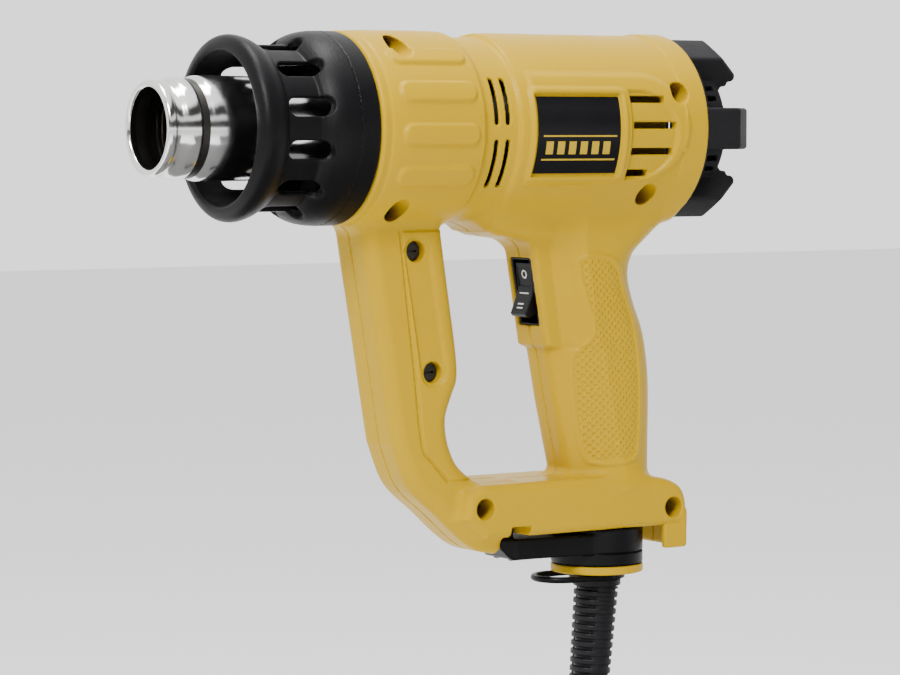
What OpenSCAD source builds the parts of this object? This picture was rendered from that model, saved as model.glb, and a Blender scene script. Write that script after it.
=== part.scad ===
// Corded hot-air gun: pistol grip, guard post, base with swivelling stand, cord on a hanging coil.
// +X points to the rear, +Z up, mid-plane at Y = 0. The origin is the middle of the hand grip.

/* [Nozzle and guard] */
// Outside diameter of the plain nozzle end that accessory nozzles push onto, mm
nozzle_d = 34; // [33:0.5:35]
// Outside diameter of the front flange of the heat guard, mm
guard_flange_d = 68; // [66:1:70]
// Number of cooling slots round the heat guard
guard_slots = 12; // [8:2:14]

/* [Housing] */
// Outside diameter of the front barrel, mm
barrel_d = 73; // [72:0.5:74]
// Outside diameter of the motor housing, mm
motor_housing_d = 72; // [71:0.5:72.5]
// Wall thickness of the two housing halves, mm
wall = 2.8; // [2.4:0.1:3]

/* [Handle] */
// Width of the hand grip across the tool, mm
grip_w = 36; // [34:1:37]
// Width of the guard post in front of the grip, mm
post_w = 26; // [24:1:27]
// Width of the base across the tool, mm
base_w = 38; // [38:1:42]

/* [Stand and cord] */
// Diameter of the swivelling stand hub, mm
hub_d = 36; // [35:0.5:37]
// Diameter of the mains cord, mm
cord_d = 7.2; // [7:0.1:7.6]
// Length of the ribbed cord sleeve, mm
sleeve_len = 56; // [50:1:60]

/* [Hidden] */
eps = 0.1;
fn_big = 96;
fn_small = 36;

// Middle of the hand grip, measured from the nozzle mouth on the barrel axis
grip_x = 194;
grip_z = -95;

// Stations along the barrel axis, measured from the nozzle mouth
plain_end = 8;
tube_start = 12;
guard_front = 28.8;
guard_rear = 77;
guard_gap = 0.3;
barrel_end = 121;
neck_start = 125;
neck_end = 136;
body_start = 140;
body_end = 224;
feet_end = 249;

nozzle_r = nozzle_d / 2;
tube_r = 19;
tube_wall = 1;
tube_end = 127;
flange_x = 71;

barrel_r = barrel_d / 2;
neck_r = barrel_r - 2.2;
body_r = motor_housing_d / 2;
rear_r = body_r + 0.7;
collar_r = 31.6;
front_hole_r = tube_r + 0.6;

guard_flange_r = guard_flange_d / 2;
guard_mouth_r = 27.8;
guard_cage_r = 30.4;
guard_cage_in = 28.2;
guard_band_r = 35.8;
guard_slot_w = 7;
guard_slot_x = 42;
guard_slot_len = 17;

// Heater
shield_r = 24;
sleeve_in_r = 17.2;
core_r = 15.2;
core_x = 48;
core_len = 62;
fin_t = 1.6;
heat_wire_r = 0.8;
heat_ring_r = 11.5;
heat_rings = 10;

// Fan and motor
fan_x = 150;
fan_len = 10;
fan_r = 29;
fan_blades = 9;
shaft_r = 1.6;
shaft_gap = 0.05;
shaft_x = 147;
shaft_len = 58;
motor_x = 164;
motor_len = 36;
motor_r = 18;
plate_t = 2;
board_x = 201;

// Handle outlines, X and Z from the nozzle mouth
post_front = [[84, -30], [96.5, -113], [99, -122], [104.5, -132.5], [117, -145], [127, -153], [135, -159]];
post_chin = [[139, -161.5], [143.5, -161.5], [146, -154.5]];
post_back = [[153.5, -134], [136, -135], [125, -126], [121.5, -119], [120, -110], [121, -105], [125.5, -95],
             [125.5, -90], [117.5, -36], [117.5, -30]];
base_top = -134;
base_bottom = -154.5;
skirt_bottom = -163.5;
base_rear = 228;
grip_lean = 10;

// Screws: X and Z of each of the eight housing screws and the half width of the wall there
screws = [[93, 30, 20], [93, -30, 20], [106, -45.5, 12.5], [113.5, -91, 12.5], [133, -143, 19], [221, -147.5, 19],
          [211.5, 13.5, 33], [202, -25, 26]];
screw_r = 1.5;
screw_head_r = 3.2;
pocket_r = 4;
boss_r = 4;
boss_half = 7;

// Switch: middle of its opening in the face of the grip
switch_x = 163;
switch_z = -62.5;
switch_w = 14;
switch_h = 26.4;
rocker_w = 10.6;
rocker_gap = 0.3;
rocker_pivot = 6;

// Wiring
wire_r = 1.1;
wire_y = 4;
wire_live_route = [[197.5, -148.6], [197.5, -130], [199, -115], [199, -100], [198, -85], [195, -76], [191, -69]];
wire_neutral_route = [[197.5, -148.6], [197.5, -130], [199, -115], [200, -100], [200, -80], [200, -62],
                      [197, -50], [190, -40], [185, -30], [184, -22], [184, -18.5]];

// Stand and cord outlet
stand_x = 197.5;
hub_top = -154.8;
hub_bottom = -169;
arm_top = -156.5;
arm_bottom = -164.6;
arm_tip = 147;
post_bush_r = 11;
bush_top = -151.6;
bush_neck_r = 9.2;
bush_gap = 0.05;
ring_bottom = -172.5;
ring_r = 18;
loop_top = -172.8;
loop_bottom = -175.2;
neck_bush_r = 8.4;
clamp_bottom = -141;
clamp_top = -137.3;
clamp_screw_x = 13;
sleeve_top = -175.5;
sleeve_r = 8.8;
sleeve_end_r = 7.6;
sleeve_shift = 5;
sleeve_ribs = 15;

// Cord route, X and Z from the nozzle mouth: the lead down to the coil, and the tail down to the plug
lead = [[192.5, -232], [191.6, -242], [190.4, -252], [188.8, -260], [185, -269], [178, -277], [169, -282],
        [158, -284]];
tail = [[110, -326], [110, -338], [110, -351], [110, -364]];
coil_x = 158;
coil_z = -326;
coil_r = 42;
bundle_r = 1.65 * cord_d;
tie_angle = 225;
tie_w = 8;
plug_top = -364;
plug_len = 38;
plug_w = 35;
plug_t = 14;
plug_pin_r = 2.4;
plug_pin_len = 19;
plug_pin_pitch = 18.6;

// Colours
yellow = [0.98, 0.78, 0.06];
black = [0.07, 0.07, 0.08];
dark_grey = [0.16, 0.16, 0.17];
steel = [0.75, 0.76, 0.78];
mica = [0.78, 0.70, 0.55];
ceramic = [0.90, 0.88, 0.82];
copper = [0.72, 0.45, 0.25];
green = [0.10, 0.35, 0.18];
blue = [0.15, 0.25, 0.60];
brown = [0.35, 0.20, 0.10];

// ---- helpers ----

// Moves a piece drawn from the nozzle mouth to the frame of the hand grip
module from_grip() translate([-grip_x, 0, -grip_z]) children();

// Solid of revolution about the barrel axis, from [x, radius] points
module lathe_x(outline) {
    rotate([0, 90, 0])
        rotate_extrude($fn = fn_big)
            polygon([for (p = outline) [p[1], p[0]]]);
}

// Cylinder along X
module rod_x(x, r, length) translate([x, 0, 0]) rotate([0, 90, 0]) cylinder(r = r, h = length, $fn = fn_big);

// Cylinder along Y through a point of the mid-plane
module rod_y(x, z, r, y0, y1) {
    translate([x, y0, z])
        rotate([-90, 0, 0])
            cylinder(r = r, h = y1 - y0, $fn = fn_small);
}

// Flat plate across Y from an outline of X and Z
module plate_y(outline, w) {
    translate([0, w / 2, 0])
        rotate([90, 0, 0])
            linear_extrude(w)
                polygon(outline);
}

// Points of a rounded box outline, half sizes a and b
function squircle(a, b, n = 40) =
    [for (i = [0:n - 1]) let (t = 360 * i / n, c = cos(t), s = sin(t))
        [a * sign(c) * pow(abs(c), 0.7), b * sign(s) * pow(abs(s), 0.7)]];

// Tube swept along a route in a plane of constant Y, as one polyhedron
function tangent(route, i) =
    let (a = route[max(i - 1, 0)], b = route[min(i + 1, len(route) - 1)], d = b - a) d / norm(d);

module swept_tube(route, r, y, sides = 10) {
    n = len(route);
    rings = [for (i = [0:n - 1]) let (t = tangent(route, i)) for (k = [0:sides - 1])
        let (c = r * cos(360 * k / sides), s = r * sin(360 * k / sides))
            [route[i][0] - t[1] * c, y + s, route[i][1] + t[0] * c]];
    walls = [for (i = [0:n - 2]) for (k = [0:sides - 1]) let (a = i * sides, j = (k + 1) % sides)
        [a + k, a + j, a + sides + j, a + sides + k]];
    first = [for (k = [0:sides - 1]) sides - 1 - k];
    last = [for (k = [0:sides - 1]) (n - 1) * sides + k];
    polyhedron(rings, concat([first], walls, [last]));
}

// ---- housing ----

module barrel_outer(cut = 0) {
    lathe_x([[66 + cut, 0], [66 + cut, collar_r - cut], [guard_rear + cut, collar_r - cut],
             [guard_rear + cut, barrel_r - cut], [barrel_end, barrel_r - cut], [neck_start, neck_r - cut],
             [neck_end, neck_r - cut], [body_start, body_r - cut], [208, body_r - cut],
             [212, rear_r - cut], [body_end + cut, rear_r - cut], [body_end + cut, 0]]);
}

// Bulge under the motor housing in front of the grip
module chin_outer(cut = 0) {
    plate_y([[136 + cut, -20], [136 + cut, -37 + cut], [142, -40.5 + cut], [150, -42.5 + cut], [164, -44 + cut],
             [209 - cut, -46 + cut], [219 - cut, -36], [219 - cut, -20]], 32 - 2 * cut);
}

module grip_outer(cut = 0) {
    intersection() {
        translate([switch_x + 25.5, 0, -85])
            rotate([0, -grip_lean, 0])
                translate([0, 0, -80])
                    linear_extrude(140)
                        polygon(squircle(30 - cut, grip_w / 2 - cut));
        plate_y([[159.6 + cut, -40], [166 + cut, -82], [168.2 + cut, -84], [178.4 + cut, -135], [178.4 + cut, -140],
                 [217.5 - cut, -140], [217.5 - cut, -100], [215.5 - cut, -84], [210 - cut, -66.5],
                 [207 - cut, -56], [209.5 - cut, -48], [217 - cut, -40]], 2 * grip_w);
    }
}

module post_outer(cut = 0) {
    difference() {
        plate_y(concat(post_front, post_chin, post_back), post_w - 2 * cut);
        if (cut > 0) {
            plate_y([[80, -20], [84 + cut, -20], [96.5 + cut, -113], [99 + cut, -121], [104.5 + cut, -130],
                     [117, -145 + cut + 1], [127, -153 + cut + 1], [135, -158 + cut + 1],
                     [153.5, -158 + cut + 1], [153.5, -170], [80, -170]], post_w);
            plate_y([[117.5 - cut, -20], [125.5 - cut, -90], [125.5 - cut, -95], [120 - cut, -106],
                     [120 - cut, -110], [121.5 - cut, -120], [125 - cut, -128], [135, -138.5], [153.5, -138.5],
                     [153.5, -60], [130, -20]], post_w);
        }
    }
}

module base_outer(cut = 0) {
    plate_y([[128 + cut, -138], [137 + cut, base_top - cut], [204, base_top - cut], [218 - cut, -136.5 - cut],
             [225 - cut, -140 - cut], [base_rear - cut, -145], [base_rear - cut, base_bottom + cut],
             [134 + cut, base_bottom + cut], [124 + cut, -147]], base_w - 2 * cut);
    if (cut == 0) {
        translate([base_rear - wall, -base_w / 2, skirt_bottom])
            cube([wall, base_w, 10]);
    }
}

module housing_outside() {
    barrel_outer();
    chin_outer();
    grip_outer();
    post_outer();
    base_outer();
}

module housing_inside() {
    difference() {
        barrel_outer(wall);
        lathe_x([[60, 0], [60, 40], [flange_x, 40], [flange_x, 0]]);
    }
    lathe_x([[208, 0], [208, rear_r - wall], [body_end + 1, rear_r - wall], [body_end + 1, 0]]);
    lathe_x([[60, 0], [60, front_hole_r], [flange_x + 1, front_hole_r], [flange_x + 1, 0]]);
    chin_outer(wall);
    grip_outer(wall);
    post_outer(wall);
    base_outer(wall);
}

// Arc of cut-outs in the neck and the cooling slots beside the motor, on both sides
module air_slots() {
    for (x = [neck_start + 1.5, neck_start + 6.5], side = [0, 1], span = [[2, 33], [-40, -7]]) {
        mirror([0, side, 0])
            rotate([0, 90, 0])
                translate([0, 0, x])
                    rotate([0, 0, -90 - span[1]])
                        rotate_extrude(angle = span[1] - span[0], $fn = fn_big)
                            translate([neck_r - wall - 1, 0])
                                square([wall + 3, 2.4]);
    }
    for (slot = [[11, 188, 203], [1.2, 189.5, 208], [-8.6, 188.5, 207], [-17.4, 187, 197]]) {
        translate([slot[1], -50, slot[0] - 1.2])
            cube([slot[2] - slot[1], 100, 2.4]);
    }
}

// Room for the switch, the stand's front stop, the cord bush and the screws
module housing_openings() {
    in_switch()
        translate([-10, -switch_w / 2, -switch_h / 2])
            cube([24, switch_w, switch_h]);
    translate([arm_tip - 1.2, -base_w, base_bottom - eps])
        cube([9.5, 2 * base_w, 4.6]);
    translate([stand_x, 0, base_bottom - 1])
        cylinder(r = post_bush_r, h = 5, $fn = fn_big);
    for (s = screws) {
        rod_y(s[0], s[1], pocket_r, -60, -boss_half);
    }
}

module screw_bosses() {
    for (s = screws) {
        difference() {
            rod_y(s[0], s[1], pocket_r + 1.2, -s[2] + 1, s[2] - 1);
            rod_y(s[0], s[1], pocket_r, -60, -boss_half);
        }
    }
}

// Rings inside the barrel that hold the heat shield, the fan duct, the motor plate and the rear board
module inner_ribs() {
    for (rib = [[84, shield_r], [114, shield_r], [motor_x - plate_t - 2, 30], [motor_x, 30]]) {
        lathe_x([[rib[0], rib[1]], [rib[0] + 2, rib[1]], [rib[0] + 2, body_r - 1.5], [rib[0], body_r - 1.5]]);
    }
}

// Posts on the floor of the base that carry the cord clamp
module clamp_posts() {
    for (x = [-clamp_screw_x, clamp_screw_x]) {
        translate([stand_x + x, 0, base_bottom + 1])
            cylinder(r = 3.5, h = clamp_bottom - base_bottom - 1, $fn = fn_small);
    }
}

module housing_whole() {
    difference() {
        housing_outside();
        difference() {
            housing_inside();
            screw_bosses();
            inner_ribs();
            clamp_posts();
        }
        housing_openings();
        air_slots();
        for (s = screws) {
            rod_y(s[0], s[1], screw_r, -60, s[2] - 5);
        }
        for (x = [-clamp_screw_x, clamp_screw_x]) {
            translate([stand_x + x, 0, clamp_bottom - 5])
                cylinder(r = screw_r, h = 8, $fn = fn_small);
        }
    }
}

module housing_half(side) {
    from_grip() {
        intersection() {
            housing_whole();
            translate([-10, side > 0 ? 0 : -100, -200])
                cube([300, 100, 300]);
        }
    }
}

module left_housing() {
    color(yellow)
        housing_half(-1);
}

module right_housing() {
    color(yellow)
        housing_half(1);
}

module label(side) {
    color(black)
        from_grip()
            mirror([0, side, 0])
                rotate([0, 90, 0])
                    translate([0, 0, 145])
                        rotate([0, 0, -90 - 19])
                            rotate_extrude(angle = 46, $fn = fn_big)
                                translate([body_r, 0])
                                    square([0.5, 38]);
}

module label_left() {
    label(0);
}

module label_right() {
    label(1);
}

module rear_cover() {
    color(dark_grey) {
        from_grip() {
            difference() {
                lathe_x([[body_end, 0], [body_end, rear_r - wall], [body_end, rear_r - 0.4], [228, rear_r - 0.4],
                         [228, 30], [243, 27], [243, 0]]);
                lathe_x([[body_end - 1, 0], [body_end - 1, 28], [230, 27], [240.5, 24.5], [240.5, 0]]);
                for (i = [0:23]) {
                    rotate([15 * i + 7.5, 0, 0])
                        translate([232, -1.6, 20])
                            cube([7, 3.2, 20]);
                }
                for (i = [-2:2]) {
                    translate([235, -15, 8 * i - 1.5])
                        cube([20, 30, 3]);
                }
            }
            for (i = [0:5]) {
                rotate([60 * i, 0, 0])
                    difference() {
                        translate([body_end + 1, -8, 26])
                            cube([feet_end - body_end - 1, 16, 9]);
                        translate([233, -20, 22])
                            rotate([0, 12, 0])
                                cube([30, 40, 8]);
                    }
            }
        }
    }
}

module housing_screws() {
    color(steel) {
        from_grip() {
            for (s = screws) {
                difference() {
                    rod_y(s[0], s[1], screw_head_r, -boss_half - 2.2, -boss_half);
                    translate([s[0] - 2, -boss_half - 2.3, s[1] - 0.4])
                        cube([4, 1.2, 0.8]);
                }
                rod_y(s[0], s[1], screw_r, -boss_half, s[2] - 6);
            }
        }
    }
}

// ---- air path ----

module nozzle() {
    color(steel)
        from_grip()
            lathe_x([[0, nozzle_r], [plain_end, nozzle_r], [tube_start, tube_r], [flange_x, tube_r],
                     [flange_x, 28], [flange_x + 1, 28], [flange_x + 1, tube_r], [tube_end, tube_r],
                     [tube_end, tube_r - tube_wall], [tube_start + 0.5, tube_r - tube_wall],
                     [plain_end + 0.5, nozzle_r - 1.2], [0, nozzle_r - 1.2]]);
}

module heat_guard() {
    color(black) {
        from_grip() {
            difference() {
                lathe_x([[guard_front + 1.2, guard_mouth_r], [guard_front, guard_mouth_r + 1.2],
                         [guard_front + 0.6, guard_mouth_r + 3.6], [guard_front + 2, guard_flange_r - 0.6],
                         [guard_front + 3.6, guard_flange_r], [guard_front + 7, guard_flange_r - 0.6],
                         [guard_front + 10.4, guard_flange_r - 2], [guard_front + 12, guard_cage_r + 0.4],
                         [guard_front + 12.4, guard_cage_r],
                         [55, guard_cage_r], [57, 32.2], [61, 34.4], [66, guard_band_r],
                         [guard_rear - guard_gap, guard_band_r], [guard_rear - guard_gap, collar_r + guard_gap],
                         [65.6, collar_r + guard_gap], [60, 30.4], [55, guard_cage_in],
                         [guard_front + 5, guard_cage_in]]);
                for (i = [0:guard_slots - 1]) {
                    rotate([360 * (i + 0.5) / guard_slots, 0, 0])
                        for (x = [guard_slot_x + guard_slot_w / 2, guard_slot_x + guard_slot_len - guard_slot_w / 2])
                            translate([x, 0, 20])
                                cylinder(d = guard_slot_w, h = 20, $fn = fn_small);
                    rotate([360 * (i + 0.5) / guard_slots, 0, 0])
                        translate([guard_slot_x + guard_slot_w / 2, -guard_slot_w / 2, 20])
                            cube([guard_slot_len - guard_slot_w, guard_slot_w, 20]);
                }
            }
        }
    }
}

module heat_shield() {
    color(steel)
        from_grip()
            lathe_x([[flange_x + 1, shield_r], [118, shield_r], [118, shield_r - 0.6], [flange_x + 1, shield_r - 0.6]]);
}

module mica_sleeve() {
    color(mica)
        from_grip()
            lathe_x([[core_x - 3, tube_r - tube_wall], [core_x + core_len + 3, tube_r - tube_wall],
                     [core_x + core_len + 3, sleeve_in_r], [core_x - 3, sleeve_in_r]]);
}

module heater_core() {
    color(ceramic) {
        from_grip() {
            for (x = [core_x, core_x + core_len - 6]) {
                difference() {
                    rod_x(x, sleeve_in_r, 6);
                    rod_x(x - 1, core_r - 1, 8);
                }
            }
            rod_x(core_x, 3, core_len);
        }
    }
}

module heater_fins() {
    color(mica) {
        from_grip() {
            for (a = [0, 90]) {
                rotate([a, 0, 0])
                    for (side = [0, 1])
                        mirror([0, 0, side])
                            translate([core_x + 0.5, -fin_t / 2, 3])
                                cube([core_len - 1, fin_t, core_r - 4]);
            }
        }
    }
}

module heater_coil() {
    color(copper) {
        from_grip() {
            for (i = [0:heat_rings - 1]) {
                translate([core_x + 6 + i * (core_len - 12) / (heat_rings - 1), 0, 0])
                    rotate([0, 90, 0])
                        rotate_extrude($fn = fn_small)
                            translate([heat_ring_r, 0])
                                circle(r = heat_wire_r, $fn = 16);
            }
        }
    }
}

module thermal_cutout() {
    color(steel) {
        from_grip() {
            translate([core_x + core_len, -6, 1])
                cube([4, 12, 9]);
            for (y = [-4.5, 3.5]) {
                translate([core_x + core_len + 4, y, 4.5])
                    cube([6, 1, 3]);
            }
        }
    }
}

module fan_duct() {
    color(black)
        from_grip()
            lathe_x([[tube_end, 21.5], [145, 31.2], [motor_x - 4, 31.2], [motor_x - 4, 29.8], [146, 29.8],
                     [tube_end + 1.5, tube_r], [tube_end, tube_r]]);
}

module fan() {
    color(black) {
        from_grip() {
            difference() {
                union() {
                    rod_x(fan_x, 7, fan_len);
                    for (i = [0:fan_blades - 1]) {
                        rotate([360 * i / fan_blades, 0, 0])
                            translate([fan_x, 0, 6])
                                rotate([0, 0, 25])
                                    translate([0, -0.7, 0])
                                        cube([fan_len - 1, 1.4, fan_r - 6.5]);
                    }
                }
                rod_x(fan_x - 5, shaft_r, fan_len + 20);
            }
        }
    }
}

module motor_shaft() {
    color(steel)
        from_grip()
            rod_x(shaft_x, shaft_r, shaft_len - 1);
}

module motor_can() {
    color(steel) {
        from_grip() {
            difference() {
                union() {
                    rod_x(motor_x, motor_r, motor_len);
                    rod_x(motor_x - 2.5, 6, 2.5);
                }
                rod_x(motor_x - 5, shaft_r + shaft_gap, 60);
            }
        }
    }
}

module motor_plate() {
    color(dark_grey) {
        from_grip() {
            difference() {
                rod_x(motor_x - plate_t, body_r - wall - 0.3, plate_t);
                rod_x(motor_x - 5, 6, 10);
                for (i = [0:5]) {
                    rotate([60 * i, 0, 0])
                        translate([motor_x - 5, 0, 22.5])
                            rotate([0, 90, 0])
                                cylinder(r = 6, h = 10, $fn = fn_small);
                }
            }
        }
    }
}

module motor_brushes() {
    color(copper) {
        from_grip() {
            for (side = [0, 1]) {
                mirror([0, 0, side])
                    translate([motor_x + motor_len - 9, -2.5, motor_r - 1])
                        cube([6, 5, 4]);
            }
        }
    }
}

module rectifier_board() {
    color(green) {
        from_grip() {
            difference() {
                rod_x(board_x, 14, 1.6);
                rod_x(board_x - 1, 3.5, 4);
            }
            for (a = [45, 135, 225, 315]) {
                rotate([a, 0, 0])
                    translate([motor_x + motor_len, -1, 9])
                        cube([board_x - motor_x - motor_len, 2, 2]);
            }
        }
    }
}

module diodes() {
    color(black) {
        from_grip() {
            for (i = [0:3]) {
                translate([board_x + 1.6 + 1.35, -4, 6.2 * (i - 1.5) + (i < 2 ? -3 : 3)])
                    rotate([-90, 0, 0])
                        cylinder(r = 1.35, h = 5, $fn = fn_small);
            }
        }
    }
}

// ---- switch ----

// Frame of the switch: +X into the grip, +Z up along its front face
module in_switch() {
    translate([switch_x, 0, switch_z])
        rotate([0, -grip_lean, 0])
            children();
}

module switch_body() {
    color(black) {
        from_grip() {
            in_switch() {
                difference() {
                    translate([0.8, -switch_w / 2, -switch_h / 2])
                        cube([20, switch_w, switch_h]);
                    translate([0, -rocker_w / 2 - rocker_gap, -switch_h / 2 + 0.6])
                        cube([15, rocker_w + 2 * rocker_gap, switch_h - 1.2]);
                }
                for (side = [0, 1]) {
                    mirror([0, side, 0])
                        translate([rocker_pivot, rocker_w / 2 - 1.5, 0])
                            rotate([-90, 0, 0])
                                cylinder(r = 1.2, h = 2, $fn = fn_small);
                }
            }
        }
    }
}

module rocker_switch() {
    color(black) {
        from_grip() {
            in_switch() {
                difference() {
                    plate_y([[1.2, 11], [0.6, 0.4], [0, -0.6], [-4.6, -7.6], [-2.4, -9.6], [1.6, -9], [5, -3.5],
                             [9.5, -3], [9.5, 3], [5, 5], [4, 11]], rocker_w);
                    rotate([-90, 0, 0])
                        translate([rocker_pivot, 0, -10])
                            cylinder(r = 1.25, h = 20, $fn = fn_small);
                }
            }
        }
    }
}

module switch_tabs() {
    color(copper) {
        from_grip() {
            in_switch() {
                for (z = [-8, 0, 8]) {
                    translate([20.8, -2.4, z - 0.4])
                        cube([6, 4.8, 0.8]);
                }
            }
        }
    }
}

// ---- wiring ----

module wire_live() {
    color(brown)
        from_grip()
            swept_tube(wire_live_route, wire_r, -wire_y, 8);
}

module wire_neutral() {
    color(blue)
        from_grip()
            swept_tube(wire_neutral_route, wire_r, wire_y, 8);
}

// ---- base, stand and cord outlet ----

module cord_clamp() {
    color(black) {
        from_grip() {
            difference() {
                translate([stand_x - 16, -6, clamp_bottom])
                    cube([32, 12, clamp_top - clamp_bottom]);
                for (y = [-wire_y, wire_y]) {
                    translate([stand_x, y, clamp_bottom - 1])
                        cylinder(r = wire_r + 0.4, h = 10, $fn = fn_small);
                }
                for (x = [-clamp_screw_x, clamp_screw_x]) {
                    translate([stand_x + x, 0, clamp_bottom - 1])
                        cylinder(r = screw_r, h = 10, $fn = fn_small);
                }
            }
        }
    }
}

module clamp_screws() {
    color(steel) {
        from_grip() {
            for (x = [-clamp_screw_x, clamp_screw_x]) {
                translate([stand_x + x, 0, clamp_bottom - 5])
                    cylinder(r = screw_r, h = clamp_top - clamp_bottom + 5.1, $fn = fn_small);
                translate([stand_x + x, 0, clamp_top])
                    cylinder(r = 2.6, h = 1.5, $fn = fn_small);
            }
        }
    }
}

module swivel_bush() {
    color(black) {
        from_grip() {
            translate([stand_x, 0, hub_bottom])
                cylinder(r = post_bush_r, h = bush_top - hub_bottom, $fn = fn_big);
            translate([stand_x, 0, bush_top])
                cylinder(r = bush_neck_r, h = 3, $fn = fn_big);
            translate([stand_x, 0, sleeve_top])
                cylinder(r = neck_bush_r, h = hub_bottom - sleeve_top + 1, $fn = fn_big);
        }
    }
}

module support_stand() {
    color(black) {
        from_grip() {
            difference() {
                union() {
                    translate([stand_x, 0, hub_bottom])
                        cylinder(d = hub_d, h = hub_top - hub_bottom, $fn = fn_big);
                    translate([0, 0, arm_bottom])
                        linear_extrude(arm_top - arm_bottom)
                            polygon([[stand_x, -13], [arm_tip + 6, -10], [arm_tip, -7], [arm_tip, 7],
                                     [arm_tip + 6, 10], [stand_x, 13]]);
                    translate([arm_tip, -8, arm_top - 1])
                        cube([4, 16, 5.2]);
                }
                translate([stand_x, 0, hub_bottom - 1])
                    cylinder(r = post_bush_r + bush_gap, h = 30, $fn = fn_big);
            }
        }
    }
}

module stand_pads() {
    color(dark_grey) {
        from_grip() {
            for (y = [-6, 4]) {
                translate([arm_tip + 6, y, arm_bottom - 0.6])
                    cube([14, 2, 0.6]);
            }
        }
    }
}

module retaining_ring() {
    color(yellow) {
        from_grip() {
            difference() {
                translate([stand_x, 0, ring_bottom])
                    cylinder(r = ring_r, h = hub_bottom - ring_bottom - 0.2, $fn = fn_big);
                translate([stand_x, 0, ring_bottom - 1])
                    cylinder(r = neck_bush_r, h = 10, $fn = fn_big);
            }
        }
    }
}

module hanging_ring() {
    color(black) {
        from_grip() {
            translate([stand_x, 0, loop_bottom])
                linear_extrude(loop_top - loop_bottom)
                    difference() {
                        union() {
                            circle(r = 11, $fn = fn_big);
                            translate([-18, 0])
                                circle(r = 11, $fn = fn_big);
                            translate([-18, -11])
                                square([18, 22]);
                        }
                        circle(r = neck_bush_r + bush_gap, $fn = fn_big);
                        difference() {
                            union() {
                                translate([-18, 0])
                                    circle(r = 8.6, $fn = fn_big);
                                translate([-18, -8.6])
                                    square([18, 17.2]);
                            }
                            circle(r = 11, $fn = fn_big);
                        }
                    }
        }
    }
}

module cord_sleeve() {
    lean = atan2(sleeve_shift, sleeve_len);
    pitch = (sleeve_len - 6) / sleeve_ribs;
    color(black) {
        from_grip() {
            translate([stand_x, 0, sleeve_top - 2.5])
                cylinder(r = 9.4, h = 2.5, $fn = fn_big);
            translate([stand_x, 0, sleeve_top - 1])
                rotate([0, lean, 0])
                    difference() {
                        translate([0, 0, -sleeve_len])
                            cylinder(r1 = sleeve_end_r, r2 = sleeve_r, h = sleeve_len, $fn = fn_big);
                        for (i = [0:sleeve_ribs - 1], side = [0, 1]) {
                            mirror([0, side, 0])
                                translate([-12, 4.6, -3 - pitch * (i + 0.75)])
                                    cube([24, 10, 1.4]);
                        }
                        translate([-12, -12, -1])
                            cube([24, 24, 10]);
                    }
        }
    }
}

// ---- cord ----

module power_cord() {
    color(black)
        from_grip()
            swept_tube(lead, cord_d / 2, 0);
}

module cord_coil() {
    color(black)
        from_grip()
            translate([coil_x, 0, coil_z])
                rotate([90, 0, 0])
                    rotate_extrude($fn = fn_big)
                        translate([coil_r, 0])
                            circle(r = bundle_r, $fn = fn_small);
}

module cord_tail() {
    color(black)
        from_grip()
            swept_tube(tail, cord_d / 2, 0);
}

module cord_tie() {
    color(dark_grey)
        from_grip()
            translate([coil_x, 0, coil_z])
                rotate([0, -tie_angle, 0])
                    translate([coil_r, 0, -tie_w / 2])
                        difference() {
                            cylinder(r = bundle_r + 1.4, h = tie_w, $fn = fn_small);
                            translate([0, 0, -1])
                                cylinder(r = bundle_r, h = tie_w + 2, $fn = fn_small);
                        }
}

module plug_body() {
    color(black)
        from_grip()
            translate([tail[0][0] - plug_t / 2, 0, plug_top])
                rotate([90, 0, 90])
                    linear_extrude(plug_t)
                        polygon([[-5.5, 0], [5.5, 0], [7, -9], [plug_w / 2, -18], [plug_w / 2, 1 - plug_len],
                                 [plug_w / 2 - 4, -plug_len], [4 - plug_w / 2, -plug_len],
                                 [-plug_w / 2, 1 - plug_len], [-plug_w / 2, -18], [-7, -9]]);
}

module plug_pins() {
    color(steel) {
        from_grip() {
            for (side = [-1, 1]) {
                translate([tail[0][0], side * plug_pin_pitch / 2, plug_top - plug_len - plug_pin_len])
                    cylinder(r = plug_pin_r, h = plug_pin_len, $fn = fn_small);
                translate([tail[0][0], side * plug_pin_pitch / 2, plug_top - plug_len - plug_pin_len - 1])
                    cylinder(r1 = 1.4, r2 = plug_pin_r, h = 1, $fn = fn_small);
            }
        }
    }
}

// ---- nodes ----

left_housing();
right_housing();
label_left();
label_right();
rear_cover();
housing_screws();
nozzle();
heat_guard();
heat_shield();
mica_sleeve();
heater_core();
heater_fins();
heater_coil();
thermal_cutout();
fan_duct();
fan();
motor_shaft();
motor_can();
motor_plate();
motor_brushes();
rectifier_board();
diodes();
switch_body();
rocker_switch();
switch_tabs();
wire_live();
wire_neutral();
cord_clamp();
clamp_screws();
swivel_bush();
support_stand();
stand_pads();
retaining_ring();
hanging_ring();
cord_sleeve();
power_cord();
cord_coil();
cord_tail();
cord_tie();
plug_body();
plug_pins();
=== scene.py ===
import math

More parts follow.
